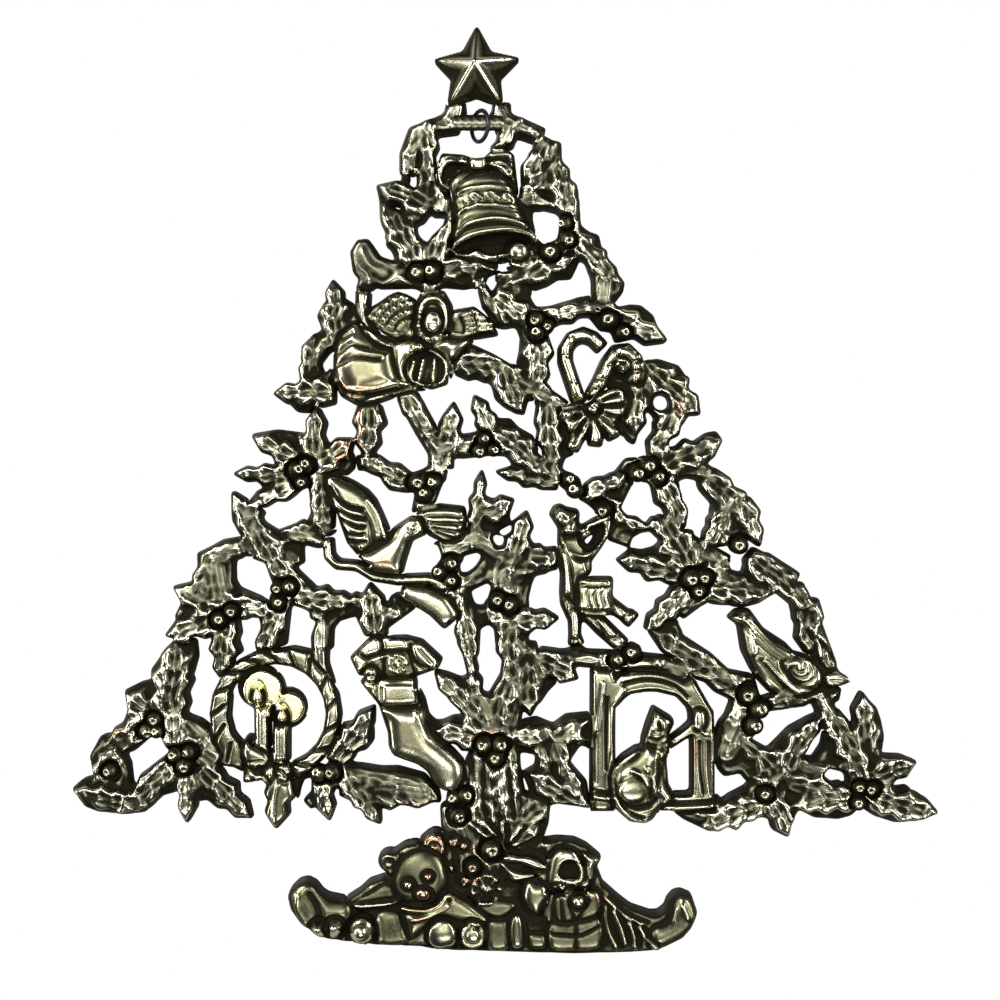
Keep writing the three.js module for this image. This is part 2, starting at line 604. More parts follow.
spray("top_branch", [
  bar(),
  twig([[-5.4, -3.6, 2.2], [-6.8, -7, 2.6], [-11, -8, 2], [-15, -10, 2.6], [-17, -15, 2.4],
    [-17.4, -19.6, 2]]),
  twig([[5, -3.6, 2.2], [6.6, -7, 2.6], [11, -8.2, 2.2], [16, -10.2, 2]]),
  leaf([-13, -8], [-12.2, -22.6], 3), leaf([8.5, -9], [3.2, -16], 2.4, { spines: SHORT_LEAF }),
  ...ground([[-8, -2], [-3.4, -1], [-3, -4], [-3.8, -6], [-8, -6]], [[8, -2], [3.9, -1.4], [3.7, -3.4],
    [4, -6], [8, -6]]),
]);
spray("bell_left_leaves", [
  leaf([-12, -28], [-25.2, -22.5], 3.8), leaf([-14, -43], [-23.5, -27.5], 4.6),
  leaf([-11, -42.5], [-6.6, -25], 3.4), twig([[-15, -19, 2], [-13, -26, 2.6], [-17, -32, 2.6]]),
  plate([[-31.7, -39], [-30, -36.2], [-27.5, -36], [-26, -38], [-24.5, -40.3], [-20.5, -41.8], [-14, -41],
    [-14, -46.6], [-25, -47], [-26.8, -48.6], [-30.6, -49.6], [-29.5, -45.7], [-31, -44]],
    { front: LEAF_DEPTH }),
  leaf([-9.6, -30], [-10.2, -18.6], 2.2), twig([[-21, -34, 2.4], [-17, -41.6, 2.8], [-11, -43.6, 2.4]]),
  leaf([-9.5, -44], [2.4, -43.4], 3.2),
  ...berries([-15, -44.5, 2], [-11.5, -44.3, 2]), twig([[-13, -43, 1.6], [-12.4, -50, 1.6]]),
  ...ground([[-19, -19.6], [-17, -20], [-17.6, -22], [-15.7, -24], [-17, -24.6], [-18.6, -22]],
    [[-25.2, -22.8], [-24.4, -26], [-24.2, -31], [-22.6, -35], [-20, -30]],
    [[-8, -40.4], [-2, -41.6], [5, -42], [4.6, -44], [2, -45], [-1, -43]],
    [[-14, -46], [-11, -44.6], [2.3, -44.7], [1.4, -47.8], [-3.5, -48.2], [-9, -47.6], [-11, -49],
      [-13.6, -49]], [[-26, -46.4], [-24.6, -47.9], [-16, -47.7], [-14, -48.4], [-14, -46]]),
]);
spray("bell_right_leaves", [
  twig([[23, -31, 2.4], [23, -36, 2.6], [16.4, -39.6, 2.4]]), leaf([23.4, -35], [35.4, -46.8], 3.4),
  twig([[26, -37, 2], [31.4, -44, 3], [31.2, -53, 2]]), leaf([12, -45.6], [24.5, -40.5], 3.3),
  ...berries([18, -39.3, 2.2], [22.2, -36.3, 1.8], [21.6, -32.3, 1.6]),
  twig([[13, -40, 1.8], [9.6, -45, 2.2], [4.6, -44.6, 1.6]]),
  leaf([17.6, -11], [11, -22.4], 3.2), leaf([22.6, -31], [19.8, -15.6], 3.6),
  twig([[19, -11.6, 1.6], [17.6, -20, 3], [21.6, -25, 3.4], [23, -31, 2.4]]),
  leaf([17, -20], [10.4, -26.6], 3, { spines: SHORT_LEAF }),
  twig([[10, -27, 1.2], [14.6, -26.4, 1.8], [19.5, -28.4, 1.8]]),
  ...ground([[13.2, -39.6], [15, -36], [16, -37.6], [17.4, -41.2], [13.4, -41.4]],
    [[10.4, -27.4], [13.6, -28.2], [13.4, -31], [14.4, -35], [15.4, -37], [14, -36.2]],
    [[25.4, -32.4], [27.6, -34.2], [30, -35], [30.6, -37.8], [27, -37]],
    [[34, -43.6], [36.4, -46.8], [36, -49], [33.8, -51.8], [32, -50], [32, -46]],
    [[8, -45.6], [14, -48.4], [18, -47], [20, -45.6], [23.6, -45.4], [25.2, -40.6], [20, -41]],
    [[28, -45], [28.6, -49.6], [28, -51.8], [30.6, -53.4], [30.4, -46]]),
]);
spray("angel_left_leaves", [
  leaf([-34.4, -61], [-36.2, -46], 3.6),
  twig([[-27.6, -52, 1.2], [-31.6, -58, 1.6], [-35, -61, 1.8]]),
  leaf([-42, -72.6], [-41, -59.6], 3), leaf([-35.6, -74.4], [-51, -74.4], 3.9),
  twig([[-34, -61.4, 1.6], [-38, -62, 1.8], [-41, -66, 1.6]]), twig([[-36.4, -68.6, 1.4], [-40, -73, 2]]),
  ...ground([[-38, -51.6], [-40, -55], [-38.6, -58.6], [-41, -60], [-43.8, -62.6], [-44, -66],
      [-41, -69], [-38, -65], [-34, -60]], [[-33.6, -50.6], [-30.6, -52.4], [-30.4, -55], [-33, -57]],
    [[-48, -75.6], [-45, -78.8], [-42, -79], [-40, -76.4]]),
]);
spray("angel_right_leaves", [
  leaf([-5.6, -67], [9.4, -68.6], 3.9), leaf([6, -67.4], [11.4, -79.6], 4.4),
  twig([[-2, -62.2, 1.4], [2.4, -65, 1.8], [7, -69, 2]]), twig([[10, -71, 2], [15, -74.4, 2.2]]),
  ...ground([[1.8, -70.4], [3.6, -72.4], [4.4, -75.6], [6.6, -77.6], [10, -79.4], [8, -71]]),
]);
spray("cane_left_leaves", [
  leaf([14.6, -59.6], [15, -74.4], 4.2), leaf([13.5, -73], [21.6, -78.4], 2.8),
  leaf([17, -77], [19, -94.6], 3.7),
  twig([[15, -58, 2.2], [14.6, -66, 2.4]]), ...berries([22.8, -95.8, 1.6], [24.2, -98.6, 2]),
  twig([[18.4, -93.4, 1.6], [25, -98.8, 1.5]]), twig([[16, -74, 1.6], [24.4, -79.6, 1.4]]),
  leaf([3.6, -50.4], [13.4, -56.4], 3.3), leaf([14.6, -56], [31, -52.6], 2.6),
  twig([[9, -45, 2.2], [8.6, -50, 2.4], [1.4, -46, 1]]),
  twig([[0.8, -46.4, 1.1], [2.4, -52, 1.4], [7, -57, 1.3]]),
  leaf([33.6, -55.6], [46.8, -61.5], 3.4), twig([[31, -51.6, 2.2], [34, -56, 2.4]]),
  twig([[12, -54, 2], [14.4, -59, 2.4]]),
  ...berries([14.5, -56.2, 1.8], [17.3, -57.8, 1.5], [14.7, -59.5, 1.8], [32.5, -56.5, 2.2],
    [36, -59.4, 1.7]),
  ...ground([[11, -46.6], [13.4, -48.4], [12.8, -50.4], [14.4, -53], [18, -52.8], [24, -50.8],
      [28.6, -50], [29, -53.8], [20, -54.6], [10, -54.6]],
    [[34, -53.2], [38, -52.4], [40.6, -52.6], [43.6, -55], [44.6, -57.8], [47.2, -61], [44, -60.4]],
    [[27.6, -54.6], [29.6, -53.6], [34, -56], [38, -60.6], [34.4, -61.4], [33.4, -58.6], [30.6, -58.4]],
    [[1.6, -52.6], [4, -57.4], [6.4, -58], [9.6, -57.4], [10.6, -60], [12.6, -60], [10, -55],
      [6, -53.6]], [[10.8, -59.6], [10.4, -64], [9.6, -67.6], [13.6, -72], [14.4, -60]],
    [[18.4, -80.6], [20.8, -80.8], [22, -82.8], [24, -84], [23, -88], [24, -89.4], [21.6, -90.4],
      [20.4, -94], [18.4, -90]], [[19, -92.6], [22, -94], [25, -95.4], [26, -97.4], [22, -97.6]]),
]);
spray("cane_right_leaves", [
  leaf([42.6, -68.4], [55.4, -79.6], 5.1),
  leaf([39, -75], [39.6, -84.6], 3.6), twig([[40, -70, 1.8], [43, -76, 1.8], [47, -80.6, 2]]),
  twig([[48, -78, 2], [52, -80.4, 2]]), leaf([49, -79], [42.6, -91], 3.6),
  ...ground([[36, -65.6], [37.6, -68.4], [37.6, -71.6], [40.4, -72], [40.4, -76], [35, -74],
      [31.6, -73.4], [34, -69]],
    [[41, -66.4], [45, -66], [50, -67.6], [52, -70.6], [44, -71], [40.6, -70]],
    [[33, -80.6], [36.6, -80.6], [39.8, -84], [39, -87], [37.4, -86], [36.6, -84.6], [34.6, -84.6]]),
]);
spray("right_upper_leaves", [
  ...berries([42.5, -92.6, 2], [39.7, -94.5, 2], [44.8, -95.3, 1.7]), leaf([44.5, -92.6], [60.8, -86.4], 4),
  leaf([45.6, -96], [51.6, -108], 4), twig([[42, -90, 2], [43.4, -96, 2], [52, -93, 2.2], [58, -94.6, 1.8]]),
  leaf([57, -95], [69.4, -108.8], 4.6), twig([[59, -94.4, 1.6], [61.6, -104, 3.4], [63, -112, 3.8]]),
  leaf([66, -101], [70.4, -112.6], 3.2), berry(65, -112.3, 2.1), leaf([62, -104], [56, -113.6], 3.4),
  ...ground([[54, -86.4], [57, -84.4], [59.4, -84], [60.8, -86], [59, -90], [56, -92.4],
      [53.6, -91.6], [57.6, -88.4]]),
]);
spray("right_middle_leaves", [
  leaf([52, -119.6], [34.6, -115.8], 3.7), leaf([53.6, -118.6], [45, -104.6], 5.4),
  leaf([52.6, -123], [41.6, -133.4], 3.4), twig([[39.6, -105.4, 1.6], [44.6, -107.4, 1.8], [48, -111, 2]]),
  ...berries([53, -120.5, 2.1], [56.2, -120.3, 1.8], [54.9, -123.5, 1.6]),
  twig([[53, -112, 2.2], [60, -116, 2.4], [56, -124, 2.6], [50, -129, 2.4]]),
  plate([[24, -99.8], [25.5, -97], [27.5, -97.2], [29.5, -95.3], [33.5, -95], [35.5, -92.5], [37, -90.7],
    [40, -90.5], [39, -95.5], [38, -100], [35.5, -102.5], [32.5, -104], [29.5, -103.5], [27.5, -101.8]],
  { front: LEAF_DEPTH }),
  leaf([26, -99.6], [37.4, -94.4], 2.7), leaf([33, -102.6], [42.2, -108.8], 3.2), berry(31.2, -103.4, 1.9),
  ...ground([[31, -104], [34, -106.6], [38, -108], [42, -108.2], [38.4, -110.2], [37.6, -112.6],
      [33, -111], [31, -109]],
    [[35.6, -115.2], [38.4, -113.2], [41, -113.6], [44, -112.8], [46.4, -110.6], [48, -115], [44, -117]]),
]);
spray("centre_top_leaves", [
  leaf([-7.6, -90], [-6, -76.4], 3.4), leaf([3.4, -84], [-1, -74.8], 3), leaf([4, -84], [18, -94.6], 3.8),
  leaf([20, -96.8], [4.4, -93.8], 2.6),
  twig([[-10.4, -88, 2], [-4, -87.6, 2.8], [3, -86.6, 3], [12, -87.6, 2.4]]),
  ...berries([1.6, -86, 1.5], [0.4, -88.8, 1.6], [3.8, -88.6, 1.4]), twig([[9, -88, 2], [12, -93, 2]]),
  ...ground([[-10.6, -84.6], [-9.4, -81], [-8, -84]],
    [[-10, -88], [-9, -93], [-6.2, -93], [-6.4, -88]],
    [[4, -80.8], [8, -80.8], [10, -83], [13.6, -85], [15, -88.6], [8, -86.4]]),
]);
spray("centre_left_branch", [
  leaf([-18.6, -74], [-11.6, -86], 3),
  twig([[-17.6, -75, 2.6], [-13, -83.4, 2.6], [-10, -89, 2.2], [-10.2, -96, 2]]),
  twig([[-9, -92.6, 1.6], [-12, -97.6, 2.4], [-14, -104, 2]]), leaf([-16.6, -97], [-29.8, -90], 3.3),
  leaf([-27, -77], [-27.4, -90.8], 4.4),
  ...berries([-15, -96.5, 2.1], [-11, -96.8, 1.8], [-13.2, -99.3, 1.7]),
  twig([[-20, -94, 1.8], [-28, -92, 1.6]]),
  ...ground([[-30.4, -90], [-27.2, -90.6], [-27.4, -92.6], [-29.8, -93.6]],
    [[-17, -94.6], [-14, -93.6], [-12, -92.4], [-11.4, -96], [-17, -96.6]],
    [[-24, -96], [-22, -98.4], [-17.8, -99], [-15.4, -98.6], [-16.4, -104], [-13, -103], [-13, -97],
      [-20, -95.6]]),
]);
spray("left_upper_leaves", [
  leaf([-41.2, -91], [-40, -77.4], 3.4), leaf([-44.6, -91], [-56.4, -84.8], 3.5),
  leaf([-45, -95], [-61, -94.4], 2.9),
  leaf([-44.6, -96.6], [-58, -102.6], 2.9), leaf([-40.6, -92.8], [-30.8, -85.6], 3.8),
  ...berries([-42.8, -92.5, 1.8], [-45.2, -93.5, 1.9], [-43.8, -96.5, 1.6]),
  leaf([-38.6, -94.6], [-38.2, -109.6], 3.6), twig([[-43, -94, 2], [-38, -96, 2]]),
  ...ground([[-56, -84.6], [-50, -83.6], [-43.6, -84.4], [-43.6, -88], [-48, -86.4]],
    [[-38, -94.4], [-34, -90.6], [-30.8, -89.6], [-31, -93], [-33, -94.8], [-37, -95]],
    [[-42, -98], [-41.4, -104], [-43, -107.4], [-38.6, -109.6], [-36, -108], [-35.8, -103], [-38, -97]]),
]);
spray("wreath_ring", [
  hoop(-50.5, -154.5, WREATH_INNER, WREATH_OUTER),
  ...ground([[-62.6, -147], [-61.6, -150], [-62, -155], [-61, -159], [-58.8, -161.8], [-61, -164],
    [-65, -158]],
    [[-61, -161.6], [-58.6, -162.4], [-57.4, -159.6], [-55.6, -160], [-55.8, -162], [-56.4, -166],
    [-58, -169],
      [-61, -167.4], [-64.6, -167]],
    [[-50, -138.4], [-46, -137.6], [-41.6, -138.6], [-41, -143], [-44, -141]]),
], OLD_BRASS);
spray("left_middle_branch", [
  leaf([-53, -114], [-61.2, -98.8], 3.2), leaf([-57, -104.4], [-47, -121.8], 4.6),
  leaf([-52, -109.6], [-35.4, -108.6], 3.2), twig([[-56.6, -103, 1.8], [-54, -110, 3], [-47, -117, 3.2]]),
  twig([[-48, -108.4, 2], [-40, -111, 1.8], [-36.6, -111.4, 1.4]]), leaf([-46, -125], [-30.4, -126], 3.3),
  twig([[-48, -119, 2.4], [-43, -124, 2.6], [-39, -128.6, 2]]),
  ...berries([-49.9, -123, 1.6], [-47, -122.6, 1.7], [-49.6, -126.5, 1.6]),
  leaf([-49, -126.6], [-54.8, -140.4], 3.8), twig([[-47.4, -119, 3], [-49, -124, 2.6], [-49.6, -129, 2.6]]),
  leaf([-25.6, -134.6], [-27, -121.6], 4),
  twig([[-31.6, -125.4, 1.6], [-25.8, -128.6, 2.4], [-20.6, -129.4, 2]]),
  twig([[-40, -126.4, 2], [-39.4, -134, 2.1], [-39.4, -142, 1.9], [-36.8, -150.6, 2.2]]),
  twig([[-26, -133, 2], [-20, -135.4, 1.6], [-12, -136.6, 1.8]]),
  ...ground([[-61.4, -99.4], [-61.2, -106], [-59, -110], [-56.6, -104]],
    [[-54.4, -115.6], [-52.8, -116.8], [-51.4, -121], [-49.6, -121], [-52, -115]],
    [[-22.6, -128], [-21.6, -125], [-19.6, -124], [-15, -126], [-12, -129.4], [-15.5, -128],
      [-18, -129.8], [-22.6, -133.4], [-23.6, -130]],
    [[-38, -126.6], [-30, -127.4], [-30, -129.6], [-34.6, -131], [-36.2, -133], [-36.4, -138],
      [-38.4, -138]], [[-47, -126.4], [-42, -128.6], [-40.2, -130.8], [-38, -130], [-40, -126.6]],
    [[-47.4, -130.6], [-45.8, -132], [-47, -135], [-48, -137], [-51.4, -138], [-50.4, -133]],
    [[-47, -111.6], [-43.8, -112.4], [-43.6, -116.6], [-47, -118]]),
]);
spray("centre_cluster", [
  leaf([-1, -109], [1, -93.4], 2.3), leaf([1, -104.6], [9, -100.8], 3.4),
  leaf([9, -115], [12.2, -103.6], 3.4),
  leaf([12, -114.6], [21, -116], 3.2),
  twig([[-13, -102.6, 1.8], [-6, -112.6, 2.6], [0, -110.6, 3], [8, -114.4, 3.4]]),
  twig([[10, -114, 4.6], [6, -121, 4.4], [6, -130, 4]]),
  twig([[-7, -113, 3], [-6.8, -122, 3], [-3, -131, 2.4]]),
  ...berries([-6.8, -116.8, 1.8], [-9.7, -119, 1.8], [-6.7, -121, 1.6], [4.8, -125.8, 1.8], [8, -127, 1.8]),
  twig([[-7, -112, 2.4], [-13, -115.6, 1.8]]), twig([[8, -118, 3], [17, -117.6, 1.6]]),
  ...ground([[1, -106.2], [4, -106.2], [6, -104.4], [7.6, -103], [7.8, -107], [4, -109], [1.6, -108.4]],
    [[-1, -118], [1, -115.2], [4, -114], [4, -118], [2, -121.6], [-2, -123.6], [-0.8, -127.4],
      [2.2, -127.6], [2.6, -130.8], [-2.4, -130.8], [-4.2, -123.4], [-4.4, -119.6]],
    [[12.6, -110], [14, -112.6], [17, -113], [20.4, -112.6], [20.4, -118], [17, -118.8], [12, -116]],
    [[9.6, -118.6], [14.4, -119], [13.2, -122], [12.4, -125.4], [12.6, -128], [9.6, -130]]),
]);
spray("trunk_top", [
  leaf([-3.4, -129.6], [-1.4, -147], 3.1), leaf([8, -127.6], [8.5, -148.6], 3.9),
  leaf([8, -145], [4, -158.4], 3.6),
  leaf([8.6, -131], [20.2, -130.4], 3.3), leaf([12, -136.6], [13, -155], 4),
  leaf([2.5, -158.4], [-10.8, -143.6], 3.6),
  leaf([1, -161], [-11.4, -158.4], 3.5), twig([[-1.4, -145.6, 2], [2.4, -152.6, 2.6], [5, -163, 4]]),
  ...berries([1.5, -161.8, 2], [5.5, -161.8, 2], [4.5, -165, 1.9]),
  twig([[11.6, -139, 2.4], [8.4, -150, 2.8], [6.4, -161, 3.8]]),
  ...ground([[-15, -147.4], [-13.4, -150.6], [-12.4, -154.6], [-10.6, -156.4], [-8.6, -156.2],
      [-6, -155], [-2.6, -155.2], [-2, -158], [-10, -159], [-12.6, -157]],
    [[-10.8, -143.4], [-7.6, -144.2], [-4, -145.6], [-2, -144], [-2.6, -149], [-6, -147.4]],
    [[-1.4, -130.4], [5, -130], [5.6, -140], [4.8, -139], [4.2, -133], [2.6, -131.8], [0.4, -133],
      [0.2, -139], [-0.6, -140], [-1.6, -133]],
    [[9, -133], [14, -133.2], [12.4, -134.6], [12.4, -136.2], [11.4, -138], [9, -136]],
    [[13, -145], [20, -146], [17.4, -148.6], [15.4, -151.6], [12.6, -152]]),
]);
spray("trunk_right_branch", [
  leaf([14.6, -140], [25, -145.6], 4),
  twig([[19.6, -140.4, 1.9], [25, -140.4, 2], [35, -141, 2.2], [46, -141.8, 1.9], [52.6, -144.4, 2]]),
  ...berries([35.1, -136.9, 1.9], [38.5, -138.8, 1.8], [34.6, -140.7, 1.7]),
  ...ground([[21.6, -138.6], [25.6, -137.2], [27.4, -139]],
    [[35, -139], [38.4, -136.6], [40.4, -137.6], [41, -140.4]]),
]);
spray("left_outer_leaves", [
  twig([[-55.6, -112.6, 2], [-62, -113.4, 2.6], [-66.4, -116, 3.2], [-65, -123, 4.4], [-63.6, -130, 3.6]]),
  leaf([-63.6, -128.6], [-76, -122.6], 4.2), leaf([-64.6, -130.4], [-78, -134.8], 3.9),
  leaf([-62.6, -130], [-63.6, -146.4], 4.2), leaf([-62, -127.4], [-49.6, -128.6], 3.2),
  leaf([-67, -117], [-71, -128.6], 3.2), ...berries([-61.2, -128.6, 1.7], [-64.3, -130.7, 1.8]),
  ...ground([[-67, -113], [-63.5, -111], [-58.8, -110.2], [-56, -112], [-60, -114]],
    [[-64, -117], [-60.8, -115.4], [-60.8, -121], [-59.6, -123], [-54, -125.4], [-53, -127.4],
      [-62, -127]], [[-74, -127], [-70.6, -128.2], [-70, -130.4], [-75.6, -130.2]]),
]);
spray("left_lower_leaves", [
  leaf([-77.4, -156], [-75, -135.4], 5.4), leaf([-79, -155], [-88, -148.6], 4.2),
  leaf([-81.6, -157], [-92.4, -162], 4),
  leaf([-75.6, -163], [-76, -151.6], 3.8),
  twig([[-77, -156, 3], [-72, -160, 5], [-66, -164, 4.4], [-60.6, -164, 1.6]]),
  ...berries([-80.3, -155.5, 1.7], [-82.3, -158.3, 1.7], [-79.8, -158.5, 1.6], [-75.2, -164.3, 1.8],
    [-71.7, -163.6, 1.7], [-73, -167, 1.8]),
  leaf([-75, -165.6], [-89, -179], 4), leaf([-72, -167.6], [-72.6, -181.6], 3),
  leaf([-69, -167.6], [-56.4, -180.4], 3.6),
  plate([[-90.5, -160], [-92.5, -159.6], [-94, -160], [-96.7, -165], [-95.6, -170], [-98.5, -170.8],
    [-101, -173], [-98, -177.3], [-95, -178.5], [-88, -179.2], [-83, -178.6], [-86.6, -171.6], [-87.2, -166],
    [-88.5, -165.3]], { front: LEAF_DEPTH }),
  leaf([-89, -164], [-95.6, -171.6], 3.4), leaf([-86, -176.4], [-100.8, -173.6], 3),
  berry(-91.3, -168.3, 1.7),
  ...ground([[-74.8, -136.4], [-72, -135.6], [-70.6, -136], [-70.2, -140], [-71.4, -144.4],
      [-74, -144.6]],
    [[-77.4, -137.6], [-79.4, -140.6], [-81.4, -143.4], [-81.2, -145.4], [-77, -146]],
    [[-88, -148.6], [-84, -146.6], [-81.2, -146], [-79, -149.8], [-84, -149.6]],
    [[-86.6, -152.2], [-88.4, -156.6], [-90, -157.6], [-85, -159], [-83, -154]],
    [[-89.6, -161.6], [-88.6, -164.4], [-86, -163.4], [-83.4, -162.4], [-82, -160.4], [-79, -157],
      [-88, -158.6]],
    [[-83.8, -178.8], [-81.6, -177.4], [-79, -174.6], [-75.4, -173.6], [-74.4, -169.4], [-80, -171.4],
      [-85, -176]],
    [[-70.6, -170], [-69.6, -176], [-67.6, -175.6], [-65, -177.8], [-62.6, -178], [-60.6, -180.2],
      [-57.6, -180.2], [-64, -171]]),
]);
spray("wreath_right_leaves", [
  leaf([-39.4, -169.6], [-37, -181], 3), leaf([-36, -166.4], [-25.8, -152.4], 3.8),
  leaf([-33, -169], [-24.2, -181.8], 3.2),
  leaf([-34, -171.6], [-9.4, -175.4], 5), ...berries([-36.1, -168.5, 1.9], [-39.5, -169, 1.8]),
  twig([[-38, -168.6, 2], [-30, -171, 4], [-14, -173.6, 4]]),
  ...ground([[-47.4, -166.6], [-41, -166.4], [-39, -169], [-43.6, -170.6], [-44.6, -173],
      [-45, -175.6], [-47.4, -172]], [[-41, -173.4], [-43.4, -176], [-41.6, -178], [-39.4, -176]],
    [[-29, -157.6], [-26.2, -158], [-26.2, -161], [-28, -163.2], [-32, -164]],
    [[-28, -168], [-20, -167.8], [-13.4, -169.6], [-9.8, -173.6], [-9.4, -176.4], [-20, -175]]),
]);
spray("window_frame", [
  twig([[31.2, -143, 2.9], [31.1, -160, 2.9], [31.1, -178.4, 3]], { front: LOW_RELIEF }),
  twig([[33, -151, 2.2], [36.6, -146.4, 2.4], [43, -145.6, 2.6], [51, -147, 3], [55.6, -152, 3],
    [56, -160, 2.8],
    [56, -177.6, 2.8]], { front: LOW_RELIEF }),
  twig([[29, -175.8, 2], [44, -176.4, 2], [58.6, -175.8, 2]], { front: LOW_RELIEF }),
  twig([[46.6, -162.6, 1.1], [54.6, -157, 1.3]]), boss(55.3, -155, 2.1, { wall: LOW_RELIEF }),
  ...ground([[32.6, -153], [34.4, -152], [38, -149.2], [42, -148.6], [45.4, -148.6], [43, -146],
      [35, -146.6]], [[52, -151.6], [53.2, -156], [50.6, -158.4], [54.6, -159.6]]),
], OLD_BRASS);
spray("right_outer_leaves", [
  leaf([57, -122.4], [74, -123.6], 3.8), leaf([67, -115], [84, -128.6], 4.4),
  leaf([82.4, -125.6], [82.2, -139.6], 4),
  twig([[62, -114.4, 2.2], [60, -120, 2.6], [66, -122.6, 3]]),
  twig([[78.6, -122.6, 2.6], [83.4, -133, 2.6], [87.2, -142.8, 2.4]]),
  twig([[71, -116, 2.2], [79, -121.4, 2.4]]),
  ...ground([[56, -126.4], [62, -127.2], [66, -127.6], [70, -126.6], [74, -124.2], [66, -122.6],
      [58, -123]],
    [[79.8, -129.6], [79.4, -133.6], [81.6, -136], [83, -139.4], [86, -143], [87, -138], [83, -130]],
    [[83.4, -139.6], [88.6, -141], [90, -144], [92.8, -145.6], [87, -144.4]]),
]);
spray("bird_branch", [
  leaf([67, -149.6], [42.4, -133.4], 4.2), leaf([71, -152], [85, -150], 2.6),
  leaf([62, -145], [53, -138], 3.4),
  ...berries([67.3, -149.2, 2.2], [70, -153, 2.2], [68.7, -157, 2.1]),
  twig([[67, -151, 3.6], [65, -158, 4], [62, -164, 3]]), leaf([66, -160], [77.6, -173], 4.6),
  leaf([75.6, -169], [85.4, -154.6], 3.4), twig([[84, -149, 1.6], [86.8, -153, 2.2], [88.8, -158, 2.2]]),
  ...ground([[60.4, -156.4], [59, -160], [58.9, -165], [60.4, -168.6], [61.6, -169.8], [65.6, -169],
      [67.4, -171.4], [69.4, -170], [68, -166], [65, -164], [64.4, -158], [61.6, -155]],
    [[42.4, -133.2], [46.4, -131], [49.6, -130.4], [50, -132.6], [54, -135.6], [57, -136],
      [59.4, -140], [55, -139.4], [49, -135.6]],
    [[59, -139.6], [64, -143.4], [68.6, -144.4], [70.4, -150.6], [66, -149]],
    [[82, -149.6], [86, -147.6], [90.6, -148], [90, -151], [87, -151.8]],
    [[72.6, -163], [75.4, -160.4], [77.6, -158], [82, -155.6], [84, -154.6], [82.6, -159], [79, -164],
      [75, -166]]),
]);
spray("right_lower_leaves", [
  plate([[57, -176], [60, -176.6], [63.5, -174.4], [67, -172.6], [70, -167], [76, -166], [84, -171],
    [80, -178],
    [77.5, -182.6], [72, -180], [66, -180], [58, -182], [56, -180]], { front: LEAF_DEPTH }),
  leaf([76.6, -171], [92.6, -173], 3), leaf([70.6, -176.4], [56, -182.6], 4),
  leaf([72.4, -175], [77.4, -185], 3.3), leaf([95, -175], [78, -176.8], 3.6),
  ...berries([72, -170.5, 1.9], [76, -173, 1.8], [71.5, -174, 1.7]),
  twig([[58.6, -177.6, 2.4], [70, -176, 2.4]]),
  twig([[77, -164, 2], [81, -167.6, 2.6], [88, -168.4, 1.6]]),
  leaf([87.6, -154], [96, -170], 3.8), leaf([97, -169], [95.8, -148.8], 4.2),
  leaf([98, -170.6], [109.4, -166.2], 3.6),
  leaf([97, -174], [114.75, -179], 4.2), leaf([92, -162], [97, -176], 4),
  ...berries([94.75, -172.3, 1.6], [97.8, -172.7, 1.7], [94.5, -176.3, 1.7]),
  ...ground([[48.6, -178.4], [51, -178], [58.4, -178], [60.4, -183.2], [57.6, -183.4], [54.6, -182],
      [51.6, -180.6]],
    [[97, -150.6], [99.4, -153], [100.4, -156], [101.2, -160], [100.4, -165], [98, -166]],
    [[100.2, -164.6], [105.6, -164.8], [108.6, -166], [104, -168], [99, -168]],
    [[106, -173], [110, -174.4], [112.6, -176.6], [114.6, -179], [106, -178]],
    [[95, -177], [99, -179.6], [104, -181.2], [109, -180.8], [112, -179.6], [104, -177]],
    [[79.4, -177.6], [84, -180], [90, -180.4], [93, -179.6], [96.4, -176.6], [88, -175.4]],
    [[86.6, -158.4], [88.8, -160], [91, -168.6], [83, -166.6], [86, -162]]),
]);
spray("trunk_lower", [
  leaf([6.4, -165.6], [7.6, -181], 4), leaf([-2, -171], [4.4, -187], 3.6),
  leaf([4.6, -187.6], [18, -175], 4.6),
  leaf([5, -189.5], [18.4, -190.6], 3.4),
  twig([[4.6, -162, 5.4], [3.4, -170, 8], [4, -180, 11], [4, -196, 9.6]]),
  plate([[9, -156.6], [14.5, -155.4], [18.8, -157.2], [22, -154.8], [28, -154.2], [28, -163], [22.6, -166.2],
    [24, -168], [27, -171.4], [27.8, -177.6], [20, -176.4], [16, -177.4], [8, -178]], { front: LEAF_DEPTH }),
  ...berries([-6, -175, 1.8], [-3.2, -174.4, 1.8], [-5, -179.3, 2], [3.3, -187.8, 2.4], [-1.2, -192.2, 1.7]),
  boss(1, -197.4, 3.6, { wall: LOW_RELIEF, sides: 12 }),
  ...ground([[-9.2, -177.4], [-7, -176], [-4, -184.8], [-8.8, -184.4]],
    [[14, -177.6], [17.8, -177.4], [17.4, -181.6], [16, -185.6], [13, -188]]),
]);
